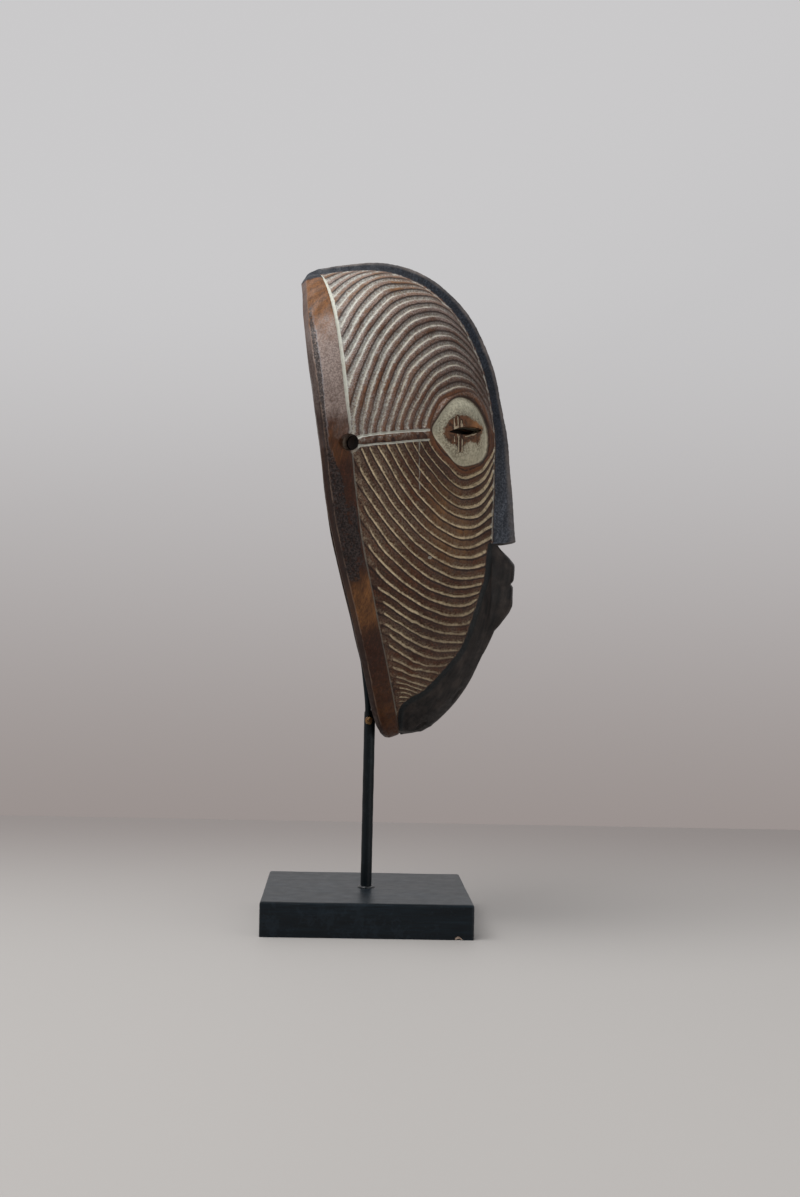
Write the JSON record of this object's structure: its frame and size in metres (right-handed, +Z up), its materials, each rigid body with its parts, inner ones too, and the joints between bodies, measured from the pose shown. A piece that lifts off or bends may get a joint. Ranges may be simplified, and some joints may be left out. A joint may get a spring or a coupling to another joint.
{
  "type": "carved face mask on a stand",
  "caption": "Carved wooden face mask with a crest and concentric white-filled grooves, held upright by a steel rod on a square black base.",
  "frame": {"origin": "middle of the base's underside, where it stands", "axes": "+Z up along the post, -Y the way the mask looks, +X across, to the mask's left"},
  "size_m": [0.1132, 0.1209, 0.3281],
  "materials": {
    "stained_wood": "black stain, satin",
    "black_steel": "black paint, satin",
    "brazing_metal": "rough cast bead",
    "carved_wood": "brown stained and waxed, grooves filled with white clay, crest and jaw blackened"
  },
  "bodies": {
    "root": {"base": "stained_wood", "post": "black_steel", "arm": "black_steel", "braze": "brazing_metal", "mask": "carved_wood"}
  },
  "joints": []
}
